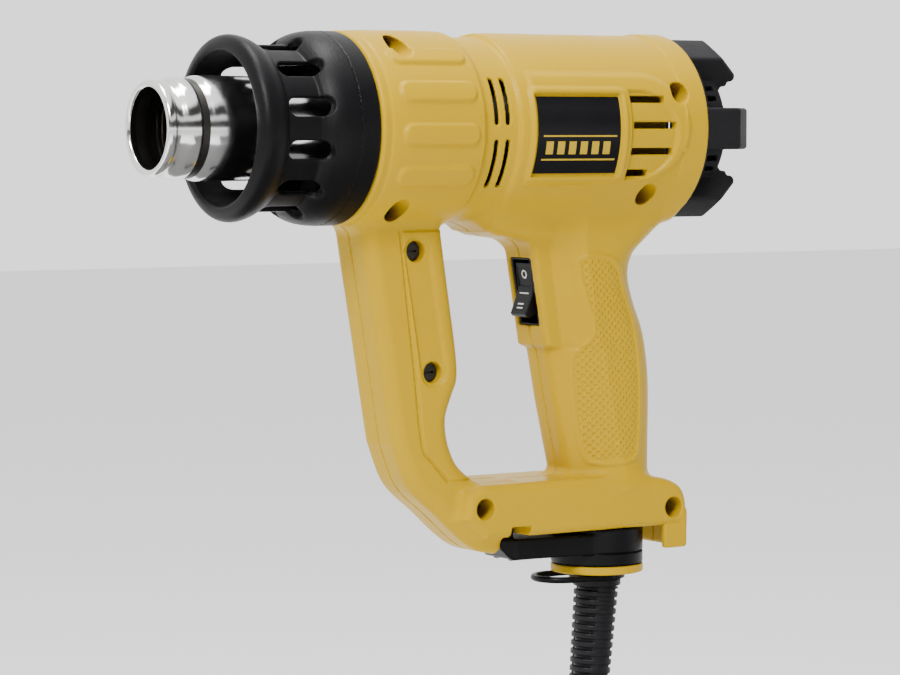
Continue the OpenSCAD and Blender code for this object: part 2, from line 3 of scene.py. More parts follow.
import bpy
import numpy as np
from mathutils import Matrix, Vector


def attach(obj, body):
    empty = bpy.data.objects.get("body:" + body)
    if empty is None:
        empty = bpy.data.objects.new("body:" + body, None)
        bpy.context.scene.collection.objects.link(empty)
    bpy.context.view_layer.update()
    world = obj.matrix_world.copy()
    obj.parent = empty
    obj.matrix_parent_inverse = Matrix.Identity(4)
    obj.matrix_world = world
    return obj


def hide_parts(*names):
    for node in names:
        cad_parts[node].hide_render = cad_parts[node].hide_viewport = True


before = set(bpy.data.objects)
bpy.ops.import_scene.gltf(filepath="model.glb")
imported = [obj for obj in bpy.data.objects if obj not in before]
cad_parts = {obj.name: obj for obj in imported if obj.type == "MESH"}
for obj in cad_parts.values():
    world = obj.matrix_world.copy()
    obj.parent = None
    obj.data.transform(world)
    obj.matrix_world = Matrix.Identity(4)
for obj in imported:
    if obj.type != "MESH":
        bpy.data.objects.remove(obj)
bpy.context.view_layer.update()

# The row frame starts at the middle of the hand grip. Most sizes below are millimetres from
# the nozzle mouth, on the barrel axis, and in_frame() turns them into row-frame metres.
MM = 0.001
GRIP_X = 194.0
GRIP_Z = -95.0

CORD_D = 7.2
COIL_X, COIL_Z, COIL_R = 158.0, -326.0, 42.0
STAND_X = 197.5
SLEEVE_TOP = -176.5
SLEEVE_LEN = 56.0
RIB_PITCH = 3.33
SLEEVE_LEAN = math.atan2(5, SLEEVE_LEN)


def in_frame(points):
    return (np.asarray(points, float) - np.array([GRIP_X, 0.0, GRIP_Z])) * MM


# ---- camera and cord ----


def make_camera():
    turn, rise = math.radians(-33.0), math.radians(3.6)
    back = Vector((math.sin(turn) * math.cos(rise), -math.cos(turn) * math.cos(rise), math.sin(rise)))
    camera = bpy.data.objects.new("camera", bpy.data.cameras.new("camera"))
    bpy.context.scene.collection.objects.link(camera)
    camera.location = Vector((-0.065, 0, 0.016)) + 1.25 * back
    camera.rotation_euler = (-back).to_track_quat("-Z", "Y").to_euler()
    camera.data.lens = 132
    camera.data.clip_start = 0.01
    bpy.context.scene.camera = camera


# The route of the cord where it isn't coiled, X and Z: the lead down to the coil, the tail to the plug.
LEAD = [(192.5, -232), (191.6, -242), (190.4, -252), (188.8, -260), (185, -269), (178, -277), (169, -282),
        (158, -284)]
TAIL = [(110, -326), (110, -338), (110, -351), (110, -364)]
COIL_TURNS = 7
LAST_PART = 0.25
COIL_STEPS = 24
RING_PLACES = 7
RING_SPOT = 8.3
# Where in its turn the first turn changes place, how much earlier each later one does, and how long it takes.
FIRST_MOVE, MOVE_SHIFT, MOVE_LENGTH = 0.9, 0.1, 0.2


def coil_spot(k):
    """Where turn k lies in the bundle, outwards and along Y: the first in the middle, then seven round it."""
    if k == 0:
        return np.zeros(2)
    a = 2 * math.pi * k / RING_PLACES
    return RING_SPOT * np.array([math.cos(a), math.sin(a)])


def coil_points():
    """One turn after another from the top, each moving to the next place a little earlier than the last."""
    points = []
    for i in range(1, int((COIL_TURNS + LAST_PART) * COIL_STEPS)):
        turns = i / COIL_STEPS
        k = int(turns)
        move = 0.0
        if k < COIL_TURNS:
            middle = FIRST_MOVE - MOVE_SHIFT * k
            move = np.clip((turns - k - middle) / MOVE_LENGTH + 0.5, 0, 1)
        move = move * move * (3 - 2 * move)
        out, y = coil_spot(k) * (1 - move) + coil_spot(k + 1) * move
        a = math.pi / 2 + 2 * math.pi * turns
        points.append((COIL_X + (COIL_R + out) * math.cos(a), y, COIL_Z + (COIL_R + out) * math.sin(a)))
    return points


def make_cord():
    route = [(x, 0, z) for x, z in LEAD] + coil_points() + [(x, 0, z) for x, z in TAIL]
    curve = bpy.data.curves.new("mains_cord", "CURVE")
    curve.dimensions = "3D"
    curve.bevel_depth = CORD_D / 2 * MM
    curve.bevel_resolution = 3
    curve.resolution_u = 3
    curve.use_fill_caps = True
    spline = curve.splines.new("BEZIER")
    spline.bezier_points.add(len(route) - 1)
    for point, place in zip(spline.bezier_points, in_frame(route)):
        point.co = place
        point.handle_left_type = point.handle_right_type = "AUTO"
    cord = bpy.data.objects.new("mains_cord", curve)
    bpy.context.scene.collection.objects.link(cord)
    return cord


make_camera()
cord = make_cord()


# ---- materials ----


def new_material(name):
    material = bpy.data.materials.new(name)
    material.use_nodes = True
    tree = material.node_tree
    return material, tree, tree.nodes["Principled BSDF"]


def noise(tree, scale, detail=4.0, roughness=0.55):
    """Noise over the object's own coordinates."""
    where = tree.nodes.new("ShaderNodeTexCoord")
    texture = tree.nodes.new("ShaderNodeTexNoise")
    texture.inputs["Scale"].default_value = scale
    texture.inputs["Detail"].default_value = detail
    texture.inputs["Roughness"].default_value = roughness
    tree.links.new(where.outputs["Object"], texture.inputs["Vector"])
    return texture.outputs["Fac"]


def ramp(tree, value, low, high, start=0.3, end=0.7):
    """Colour from low to high as value goes from start to end."""
    node = tree.nodes.new("ShaderNodeValToRGB")
    node.color_ramp.elements[0].position = start
    node.color_ramp.elements[0].color = low
    node.color_ramp.elements[1].position = end
    node.color_ramp.elements[1].color = high
    tree.links.new(value, node.inputs["Fac"])
    return node.outputs["Color"]


def add_bump(tree, shader, height, strength, distance):
    bump = tree.nodes.new("ShaderNodeBump")
    bump.inputs["Strength"].default_value = strength
    bump.inputs["Distance"].default_value = distance
    tree.links.new(height, bump.inputs["Height"])
    tree.links.new(bump.outputs["Normal"], shader.inputs["Normal"])
    return bump


def grey(level):
    return (level, level, level, 1)


def surface_finish(name, colour, spread=0.06, rough=(0.35, 0.5), grain=900, bump=0.08, metal=0.0,
                   shine=0.3, wear=None):
    """A finish with cloudy colour variation, patchy roughness and a fine grain.

    wear is the lighter colour of rubbed spots.
    """
    material, tree, shader = new_material(name)
    shader.inputs["Metallic"].default_value = metal
    shader.inputs["Specular IOR Level"].default_value = shine
    low = tuple(c * (1 - spread) for c in colour) + (1,)
    high = tuple(min(1, c * (1 + spread)) for c in colour) + (1,)
    base = ramp(tree, noise(tree, 14), low, high)
    if wear:
        rubbed = ramp(tree, noise(tree, 55, 8, 0.7), grey(0), grey(1), 0.66, 0.74)
        mix = tree.nodes.new("ShaderNodeMix")
        mix.data_type = "RGBA"
        tree.links.new(rubbed, mix.inputs["Factor"])
        tree.links.new(base, mix.inputs["A"])
        mix.inputs["B"].default_value = wear + (1,)
        base = mix.outputs["Result"]
    tree.links.new(base, shader.inputs["Base Color"])
    rough_map = ramp(tree, noise(tree, 60, 6), grey(rough[0]), grey(rough[1]))
    tree.links.new(rough_map, shader.inputs["Roughness"])
    add_bump(tree, shader, noise(tree, grain, 2), bump, 0.0004)
    return material


def grip_finish():
    """The housing's yellow, with staggered dimples where the mesh attribute grip_texture says."""
    material = surface_finish("yellow_plastic", (0.40, 0.246, 0.0), 0.03, (0.30, 0.40), 1400, 0.06, shine=0.1)
    tree = material.node_tree
    where = tree.nodes.new("ShaderNodeTexCoord")
    side_view = tree.nodes.new("ShaderNodeMapping")
    side_view.inputs["Rotation"].default_value = (math.radians(90), 0, 0)
    diagonal = tree.nodes.new("ShaderNodeMapping")
    diagonal.inputs["Rotation"].default_value = (0, 0, math.radians(50))
    lattice = tree.nodes.new("ShaderNodeTexVoronoi")
    lattice.voronoi_dimensions = "2D"
    lattice.inputs["Scale"].default_value = 1 / (2.05 * MM)
    lattice.inputs["Randomness"].default_value = 0
    tree.links.new(where.outputs["Object"], side_view.inputs["Vector"])
    tree.links.new(side_view.outputs["Vector"], diagonal.inputs["Vector"])
    tree.links.new(diagonal.outputs["Vector"], lattice.inputs["Vector"])
    dimple = tree.nodes.new("ShaderNodeMapRange")
    dimple.interpolation_type = "SMOOTHSTEP"
    dimple.inputs["From Min"].default_value = 0.16
    dimple.inputs["From Max"].default_value = 0.36
    dimple.inputs["To Min"].default_value = -1
    dimple.inputs["To Max"].default_value = 0
    tree.links.new(lattice.outputs["Distance"], dimple.inputs["Value"])
    mask = tree.nodes.new("ShaderNodeAttribute")
    mask.attribute_name = "grip_texture"
    height = tree.nodes.new("ShaderNodeMath")
    height.operation = "MULTIPLY"
    tree.links.new(dimple.outputs["Result"], height.inputs[0])
    tree.links.new(mask.outputs["Fac"], height.inputs[1])
    grain = tree.nodes["Principled BSDF"].inputs["Normal"].links[0].from_node
    bump = add_bump(tree, tree.nodes["Principled BSDF"], height.outputs["Value"], 0.8, 0.0006)
    tree.links.new(grain.outputs["Normal"], bump.inputs["Normal"])
    return material


def chrome_finish():
    """Polished steel, slightly warmer near the mouth, with painted light and shade: lighter near the mouth
    and darker towards the guard, where the guard shades the tube.
    """
    material, tree, shader = new_material("polished_steel")
    shader.inputs["Metallic"].default_value = 1
    where = tree.nodes.new("ShaderNodeTexCoord")
    parts = tree.nodes.new("ShaderNodeSeparateXYZ")
    tree.links.new(where.outputs["Object"], parts.inputs["Vector"])
    span = tree.nodes.new("ShaderNodeMapRange")
    span.inputs["From Min"].default_value = -GRIP_X * MM
    span.inputs["From Max"].default_value = (50 - GRIP_X) * MM
    tree.links.new(parts.outputs["X"], span.inputs["Value"])
    # Painted shade: the steel colour darkens from 5 to 30 mm behind the mouth, towards and under the guard.
    painted_guard_shade = ramp(tree, span.outputs["Result"], (0.80, 0.79, 0.77, 1), (0.70, 0.70, 0.71, 1), 0.1, 0.6)
    tree.links.new(painted_guard_shade, shader.inputs["Base Color"])
    rough_map = ramp(tree, noise(tree, 90, 6), grey(0.10), grey(0.2))
    tree.links.new(rough_map, shader.inputs["Roughness"])
    add_bump(tree, shader, noise(tree, 400, 2), 0.04, 0.0002)
    return material


YELLOW = grip_finish()
BLACK = surface_finish("black_plastic", (0.003, 0.003, 0.0035), 0.2, (0.30, 0.42), 1600, 0.15,
                       shine=0.14, wear=(0.010, 0.010, 0.011))
GUARD_BLACK = surface_finish("guard_black", (0.003, 0.003, 0.0035), 0.2, (0.34, 0.46), 1800, 0.25,
                             shine=0.12, wear=(0.006, 0.006, 0.007))
DARK_GREY = surface_finish("dark_grey_plastic", (0.010, 0.010, 0.011), 0.12, (0.45, 0.6), 1500, 0.3,
                           shine=0.1, wear=(0.018, 0.018, 0.019))
LABEL = surface_finish("label_film", (0.005, 0.005, 0.006), 0.2, (0.28, 0.36), 900, 0.03, shine=0.15)
RUBBER = surface_finish("sleeve_rubber", (0.006, 0.006, 0.007), 0.2, (0.36, 0.5), 1500, 0.2,
                        shine=0.2, wear=(0.014, 0.014, 0.014))
MARK = surface_finish("white_print", (0.55, 0.55, 0.54), 0.05, (0.4, 0.55), 900, 0.05)
STRIPE = surface_finish("yellow_print", (0.40, 0.26, 0.003), 0.04, (0.35, 0.45), 900, 0.03)
STEEL = surface_finish("zinc_steel", (0.50, 0.50, 0.52), 0.1, (0.25, 0.45), 700, 0.1, metal=1,
                       wear=(0.3, 0.29, 0.27))
DARK_STEEL = surface_finish("blackened_steel", (0.05, 0.047, 0.043), 0.1, (0.35, 0.5), 700, 0.1, metal=1,
                            wear=(0.12, 0.115, 0.105))
BRASS = surface_finish("brass", (0.62, 0.42, 0.16), 0.1, (0.3, 0.5), 700, 0.1, metal=1,
                       wear=(0.3, 0.2, 0.1))
MICA = surface_finish("mica", (0.55, 0.44, 0.27), 0.15, (0.3, 0.5), 300, 0.2)
CERAMIC = surface_finish("ceramic", (0.72, 0.68, 0.58), 0.06, (0.5, 0.7), 700, 0.2)
WIRE_METAL = surface_finish("heating_wire", (0.32, 0.27, 0.24), 0.15, (0.4, 0.6), 500, 0.2, metal=1)
BOARD = surface_finish("board_green", (0.02, 0.11, 0.035), 0.15, (0.3, 0.45), 500, 0.1)
BROWN = surface_finish("brown_insulation", (0.16, 0.06, 0.02), 0.1, (0.35, 0.5), 800, 0.1)
BLUE = surface_finish("blue_insulation", (0.02, 0.06, 0.30), 0.1, (0.35, 0.5), 800, 0.1)
CHROME = chrome_finish()


# ---- shapes from distance fields ----
# A field is a function of X, Y and Z in millimetres that is negative inside the shape.


def either(a, b, blend):
    """Both shapes, joined with a fillet about blend wide."""
    h = np.clip(0.5 + 0.5 * (b - a) / blend, 0, 1)
    return b + (a - b) * h - blend * h * (1 - h)


def both(a, b, blend):
    """What the two shapes share, with the edge rounded."""
    return -either(-a, -b, blend)


def cut(a, b, blend=0.5):
    """a without b."""
    return both(a, -b, blend)


def step(value, width):
    """0 to 1 as value passes from -width to width."""
    t = np.clip(0.5 + 0.5 * value / width, 0, 1)
    return t * t * (3 - 2 * t)


def box_2d(a, b, half_a, half_b, radius):
    """Distance to a rounded rectangle."""
    qa = np.abs(a) - half_a + radius
    qb = np.abs(b) - half_b + radius
    return np.hypot(np.maximum(qa, 0), np.maximum(qb, 0)) + np.minimum(np.maximum(qa, qb), 0) - radius


def line_2d(a, b, points):
    """Distance to a chain of straight lines."""
    best = 1e9
    for (a0, b0), (a1, b1) in zip(points, points[1:]):
        ea, eb = a1 - a0, b1 - b0
        t = np.clip(((a - a0) * ea + (b - b0) * eb) / (ea * ea + eb * eb), 0, 1)
        best = np.minimum(best, np.hypot(a - a0 - t * ea, b - b0 - t * eb))
    return best


def outline_2d(a, b, points):
    """Distance to a closed outline, negative inside."""
    ring = list(points) + [points[0]]
    inside = False
    for (a0, b0), (a1, b1) in zip(ring, ring[1:]):
        if b0 != b1:
            inside = inside ^ (((b0 > b) != (b1 > b)) & (a < (a1 - a0) * (b - b0) / (b1 - b0) + a0))
    return np.where(inside, -1, 1) * line_2d(a, b, ring)


def smooth_line(points, steps=4):
    """Points of a smooth curve through the given ones."""
    p = np.array([points[0]] + list(points) + [points[-1]], float)
    out = []
    for p0, p1, p2, p3 in zip(p, p[1:], p[2:], p[3:]):
        for t in np.arange(steps) / steps:
            out.append(0.5 * (2 * p1 + (p2 - p0) * t + (2 * p0 - 5 * p1 + 4 * p2 - p3) * t * t
                              + (3 * p1 - p0 - 3 * p2 + p3) * t ** 3))
    return [tuple(q) for q in out] + [tuple(p[-1])]


def plate(flat, across, half, edge):
    """A flat outline given thickness 2 * half, with edges rounded to edge."""
    q = flat + edge
    w = np.abs(across) - half + edge
    return np.hypot(np.maximum(q, 0), np.maximum(w, 0)) + np.minimum(np.maximum(q, w), 0) - edge


def turned(x, r, profile, blend=1.0):
    """Solid of revolution from [x, radius] points, closed at both ends."""
    line = np.array(profile, float)
    slope = np.gradient(np.interp(np.arange(line[0, 0], line[-1, 0], 0.5), line[:, 0], line[:, 1]), 0.5)
    lean = np.interp(x, np.arange(line[0, 0], line[-1, 0], 0.5), slope)
    side = (r - np.interp(x, line[:, 0], line[:, 1])) / np.hypot(1, lean)
    return both(side, np.maximum(line[0, 0] - x, x - line[-1, 0]), blend)


CORNERS = [(i, j, k) for i in (0, 1) for j in (0, 1) for k in (0, 1)]
UNIT = np.eye(3, dtype=int)


def net(values):
    """One point in each grid cell that the surface passes through, and the four-sided faces between them."""
    inside = values < 0
    size = np.array(values.shape) - 1
    count = np.zeros(size, np.uint8)
    for i, j, k in CORNERS:
        count += inside[i:size[0] + i, j:size[1] + j, k:size[2] + k]
    active = (count > 0) & (count < 8)
    cell = np.argwhere(active)
    number = np.full(active.shape, -1, np.int64)
    number[active] = np.arange(len(cell))
    place = np.zeros((len(cell), 3))
    hits = np.zeros(len(cell))
    for axis in range(3):
        for corner in CORNERS:
            if corner[axis]:
                continue
            low = cell + corner
            high = low + UNIT[axis]
            v0, v1 = values[tuple(low.T)], values[tuple(high.T)]
            crossed = (v0 < 0) != (v1 < 0)
            t = v0[crossed] / (v0[crossed] - v1[crossed])
            place[crossed] += np.array(corner) + t[:, None] * UNIT[axis]
            hits += crossed
    faces = []
    for axis in range(3):
        b, c = UNIT[(axis + 1) % 3], UNIT[(axis + 2) % 3]
        near = [slice(None)] * 3
        far = [slice(None)] * 3
        near[axis], far[axis] = slice(0, -1), slice(1, None)
        v0 = inside[tuple(near)]
        edge = np.argwhere(v0 != inside[tuple(far)])
        ok = np.all(edge - b - c >= 0, axis=1) & np.all(edge < size, axis=1)
        edge = edge[ok]
        quad = np.stack([number[tuple((edge - b - c).T)], number[tuple((edge - c).T)],
                         number[tuple(edge.T)], number[tuple((edge - b).T)]], axis=1)
        outward = v0[tuple(edge.T)]
        faces.append(np.where(outward[:, None], quad, quad[:, ::-1]))
    return cell + place / hits[:, None], np.concatenate(faces)


def gradient(field, p, reach):
    x, y, z = p.T
    return np.stack([field(x + reach, y, z) - field(x - reach, y, z),
                     field(x, y + reach, z) - field(x, y - reach, z),
                     field(x, y, z + reach) - field(x, y, z - reach)], axis=1) / (2 * reach)


def mesh_piece(name, points, faces, material, normals=None):
    mesh = bpy.data.meshes.new(name)
    mesh.from_pydata(in_frame(points).tolist(), [], [list(f) for f in faces])
    mesh.polygons.foreach_set("use_smooth", [True] * len(mesh.polygons))
    mesh.materials.append(material)
    if normals is not None:
        mesh.normals_split_custom_set_from_vertices(normals.tolist())
    piece = bpy.data.objects.new(name, mesh)
    bpy.context.scene.collection.objects.link(piece)
    return piece


def grid_size(full):
    return full


def solid_from(name, field, low, high, grid, material):
    """The surface of a field inside a box, as a mesh whose points lie on it."""
    x, y, z = (np.arange(low[i], high[i] + grid, grid) for i in range(3))
    shape = (len(x), len(y), len(z))
    values = np.broadcast_to(field(x[:, None, None], y[None, :, None], z[None, None, :]), shape)
    points, faces = net(values)
    points = np.array(low) + points * grid
    for _ in range(4):
        slope = gradient(field, points, 0.03)
        length = np.maximum((slope * slope).sum(1), 0.05)
        move = (field(*points.T) / length)[:, None] * slope
        far = np.maximum(np.linalg.norm(move, axis=1) / (0.4 * grid), 1)
        points -= move / far[:, None]
    slope = gradient(field, points, 0.12)
    normals = slope / np.maximum(np.linalg.norm(slope, axis=1), 1e-9)[:, None]
    return mesh_piece(name, points, faces.tolist(), material, normals)


def ring_faces(around, n):
    """Faces between neighbouring copies of a closed outline of n points, set round in a ring."""
    faces = []
    for i in range(around):
        here, there = i * n, (i + 1) % around * n
        for j in range(n):
            after = (j + 1) % n
            faces.append((here + j, here + after, there + after, there + j))
    return faces


def spun(name, profile, material, around):
    """A turned piece about the barrel axis from a closed [x, radius] outline."""
    line = np.array(profile, float)
    n = len(line)
    a = 2 * np.pi * np.arange(around) / around
    points = np.stack([np.broadcast_to(line[:, 0], (around, n)), np.outer(np.cos(a), line[:, 1]),
                       np.outer(np.sin(a), line[:, 1])], axis=2).reshape(-1, 3)
    return mesh_piece(name, points, ring_faces(around, n), material)


# ---- housing ----

BARREL = smooth_line([(77, 35.6), (78.5, 36.1), (81, 35.8), (84, 36.3), (100, 36.5), (119, 36.4),
                      (121.3, 35.9), (123, 34.8), (125, 34.3), (135.5, 34.3), (137.5, 34.9), (140.5, 36.0),
                      (160, 36.1), (208, 36.1), (213, 36.7), (222, 36.8), (224, 36.6)])
BULGE = [(134, -20), (131.5, -33.5), (136.7, -37.9), (143, -40.5), (154, -42), (170, -43), (206, -43),
         (221, -34), (221, -20)]
INNER_R = 32.8
PAD_R = 36.5
# The raised pads round the front: how many, the lowest one's middle and their spacing in degrees.
PADS, LOWEST_PAD, PAD_PITCH = 4, -28.5, 25
# The straight vents: height, and where they start and end. The curved ones: lower and upper end in degrees.
VENTS = ((11, 188, 203.5), (1.2, 189, 208.5), (-8.6, 188.5, 207.5), (-16.8, 187.6, 198))
CURVED_VENTS = ((2, 33), (-40, -7))
CURVED_VENT_X = (127.7, 132.7)
CURVED_VENT_R = 34.3
POST_FRONT = smooth_line([(82, -22), (84.4, -41), (90, -74), (96.4, -112.6), (98.4, -120.5),
                          (103, -131.8), (108, -138), (116.3, -144.8), (126.6, -154), (134.8, -159.6),
                          (143.4, -161.6)])
POST_BACK = [(145.5, -160), (146, -154.5), (150, -134.6)] + smooth_line(
    [(136, -135.4), (129.5, -130.5), (124.8, -126), (121.6, -119.3), (120.2, -113), (120.4, -107),
     (123.4, -99), (125.2, -94), (124.8, -84), (121.2, -60), (117.6, -36), (116, -22)])
PANEL_LINE = smooth_line([(98.9, -38), (101.9, -63.5), (105.2, -90), (108.5, -118), (112.5, -124),
                          (119.6, -132)])
BASE = [(126, -137), (132, -134), (202, -134)] + smooth_line(
    [(209, -134.5), (218.7, -136.4), (225, -139.6), (227.6, -144.6), (228, -150)]) + [
    (228, -154.5), (134, -154.5), (124, -147)]
SCREWS = ((93, 30), (93, -30), (106, -45.5), (113.5, -91), (133, -143), (221, -147.5), (211.5, 13.5),
          (202, -25))
BARREL_BOTTOM = -40
BOSS_R = 5.4
POCKET_R = 4
GRIP_FRONT = [(159.6, -36), (159.8, -44), (166.4, -83), (168.3, -84.5), (172, -104), (178.1, -131),
              (178.6, -140)]
GRIP_BACK = smooth_line([(224, -30), (217, -40.5), (210, -47.8), (207.4, -56), (209.8, -66.5), (214, -77),
                         (216.4, -88), (217.5, -100.6), (217.4, -120), (217.2, -140)])
GRIP_HALF_WIDTHS = ((0, 7.0), (1.5, 8.6), (5, 10.5), (12, 15.0), (20, 17.8))
TEXTURE = smooth_line([(177, -50.5), (179, -60.5), (183.5, -75), (182.5, -81), (177, -86.5),
                       (176.8, -95), (179.2, -111.5), (182.4, -124.5), (187, -129), (202, -128),
                       (205.3, -122), (206.1, -105), (205.6, -90), (203, -74), (198.5, -62), (195, -52),
                       (187, -48.8), (180, -48.6)], 3)
SWITCH_X, SWITCH_Z, LEAN = 163.0, -62.5, math.radians(10)


def to_switch(x, z):
    """Coordinates in the switch's own frame: inwards from its face, and up along it."""
    dx, dz = x - SWITCH_X, z - SWITCH_Z
    return dx * math.cos(LEAN) + dz * math.sin(LEAN), -dx * math.sin(LEAN) + dz * math.cos(LEAN)


def barrel_relief(x, y, z):
    """Height of the pads, the raised side panel and the frame round the label above the plain barrel."""
    elevation = np.degrees(np.arctan2(z, np.abs(y) + 1e-9))
    nearest = np.clip(np.round((elevation - LOWEST_PAD) / PAD_PITCH), 0, PADS - 1)
    arc = (elevation - (LOWEST_PAD + PAD_PITCH * nearest)) * math.radians(1) * PAD_R
    pads = 1.1 * step(-box_2d(x - 102.2, arc, 16.2, 3.9, 3.6), 0.9)
    side = step(np.abs(y) - 12, 4)
    rear = np.hypot(np.maximum(x - 194, 0), z)
    panel = np.maximum(rear - 20.5, np.abs(z) - 20.5)
    panel = np.maximum(panel, 143 - x)
    raised = 1.1 * step(-panel, 1.4)
    frame_lip = 0.7 * step(1.0 - np.abs(box_2d(x - 163.5, z + 2.5, 20.8, 16.8, 1.5)), 0.8)
    well = -1.1 * step(-box_2d(x - 163.3, z + 2.5, 19.6, 15.4, 1.0), 0.5)
    hollow = np.maximum(np.hypot(np.maximum(x - 192.5, 0), z + 2.6) - 16.6, 187.6 - x)
    grooves = -1.5 * step(-hollow, 0.9)
    return (pads + raised + frame_lip + well + grooves) * side


def barrel_field(x, y, z):
    r = np.hypot(y, z)
    body = turned(x, r, BARREL, 1.4) - barrel_relief(x, y, z)
    bulge = plate(outline_2d(x, z, BULGE), y, 15.5, 5)
    return either(body, bulge, 7)


def barrel_hollow(x, y, z):
    r = np.hypot(y, z)
    return np.maximum(r - INNER_R, np.maximum(80 - x, x - 230))


def post_field(x, y, z):
    flat = outline_2d(x, z, POST_FRONT + POST_BACK)
    field = plate(flat, y, 13, 5.5)
    behind = outline_2d(x, z, PANEL_LINE + [(160, -132), (160, -38)])
    outer = step(np.abs(y) - 9, 1.5)
    groove = line_2d(x, z, PANEL_LINE)
    relief = 0.6 * step(-behind, 0.5) - 0.9 * np.exp(-((groove / 0.55) ** 2))
    capsule = line_2d(x, z, [(106, -45.5), (113.5, -91)]) - 5.4
    relief = relief - 1.3 * step(-capsule, 0.7)
    return field - relief * outer


def grip_field(x, y, z):
    """The grip is narrow at its flat front face and swells to its full width past a thumb groove."""
    front = np.interp(-z, [-p[1] for p in GRIP_FRONT], [p[0] for p in GRIP_FRONT])
    back = np.interp(-z, [-p[1] for p in GRIP_BACK], [p[0] for p in GRIP_BACK])
    depth = x - front
    block = step(z + 84, 1.2)
    width = np.interp(depth, [p[0] for p in GRIP_HALF_WIDTHS], [p[1] for p in GRIP_HALF_WIDTHS])
    block_width = np.interp(depth, [7, 13, 20], [10.6, 14.6, 17.8])
    width = width * (1 - block) + block_width * block
    span = np.maximum(back - front, 20)
    late = np.clip((depth - span + 21) / 21, 0, 1)
    width = width * np.sqrt(np.maximum(1 - late ** 2.6, 1e-4))
    side = (np.abs(y) - width) * 0.8
    ends = np.maximum(-depth, x - back) * 0.97
    field = both(side, ends, 2.2)
    field = both(field, np.maximum(z + 32, -138 - z), 0.5)
    texture = outline_2d(x, z, TEXTURE)
    flank = step(np.abs(y) - 9, 2)
    lip = 0.45 * step(0.8 - np.abs(texture), 0.7) * flank
    return field - lip


def base_field(x, y, z):
    field = plate(outline_2d(x, z, BASE), y, 19, 3.2)
    skirt = plate(box_2d(x - 226.5, z + 156, 1.5, 7.5, 1.2), y, 18.6, 1.2)
    flange = plate(box_2d(x - 222, z + 158.5, 5, 5, 1.2), np.abs(y) - 17.2, 1.4, 0.8)
    return np.minimum(either(field, skirt, 1.2), flange)


def cut_vents(body, x, y, z):
    """Takes the two rows of curved slots and the straight slots behind the label out of both flanks."""
    elevation = np.degrees(np.arctan2(z, np.abs(y)))
    to_arc = math.radians(1) * CURVED_VENT_R
    for low, high in CURVED_VENTS:
        arc = (elevation - (low + high) / 2) * to_arc
        for slot_x in CURVED_VENT_X:
            slot = box_2d(x - slot_x, arc, 1.05, (high - low) / 2 * to_arc, 1.0)
            body = cut(body, np.maximum(slot, 24 - np.abs(y)), 0.35)
    for slot_z, start, end in VENTS:
        slot = box_2d(x - (start + end) / 2, z - slot_z, (end - start) / 2, 1.25, 0.5)
        body = cut(body, np.maximum(slot, 20 - np.abs(y)), 0.4)
    return body


def housing_field(x, y, z):
    """Both halves in one, with the room inside, the web behind the motor, and the openings."""
    body = barrel_field(x, y, z)
    body = either(body, grip_field(x, y, z), 6)
    body = either(body, post_field(x, y, z), 5)
    body = either(body, base_field(x, y, z), 4)
    hollow = barrel_hollow(x, y, z)
    for sx, sz in SCREWS:
        if sz > BARREL_BOTTOM:
            hollow = np.maximum(hollow, BOSS_R - np.hypot(x - sx, z - sz))
    body = cut(body, hollow, 0.6)
    web = np.minimum(box_2d(x - 215.3, z, 7.3, 33.2, 1), box_2d(x - 218.7, z, 10.8, 20, 1))
    body = np.minimum(body, plate(web, y, 1.5, 0.4))
    depth, up = to_switch(x, z)
    opening = np.maximum(box_2d(y, up, 7.1, 13.3, 1.2), np.maximum(depth - 15, -12 - depth))
    body = cut(body, opening, 0.5)
    notch = box_2d(x - 149.4, z + 155, 4.6, 4.4, 1)
    body = cut(body, notch, 0.6)
    return cut_vents(body, x, y, z)


def left_field(x, y, z):
    body = both(housing_field(x, y, z), y + 0.08, 0.5)
    for sx, sz in SCREWS:
        body = cut(body, np.maximum(np.hypot(x - sx, z - sz) - POCKET_R, y + 6.8), 0.7)
    return body


def right_field(x, y, z):
    return both(housing_field(x, y, z), 0.08 - y, 0.5)


def mark_texture(piece):
    """Writes the attribute grip_texture: 1 inside the outlined panel on the grip's flanks, 0 elsewhere."""
    count = len(piece.data.vertices)
    co = np.empty(count * 3)
    piece.data.vertices.foreach_get("co", co)
    x, y, z = (co.reshape(-1, 3) / MM + np.array([GRIP_X, 0, GRIP_Z])).T
    inside = step(-outline_2d(x, z, TEXTURE) - 1.6, 0.8) * step(np.abs(y) - 9, 2)
    layer = piece.data.attributes.new("grip_texture", "FLOAT", "POINT")
    layer.data.foreach_set("value", inside.astype(np.float32))


def make_housing():
    grid = grid_size(0.75)
    left = solid_from("left_shell", left_field, (64, -41, -166), (231, 1.5, 41), grid, YELLOW)
    right = solid_from("right_shell", right_field, (64, -1.5, -166), (231, 41, 41), grid, YELLOW)
    for piece, node in ((left, "left_housing"), (right, "right_housing")):
        mark_texture(piece)
        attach(piece, "housing")
        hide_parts(node)


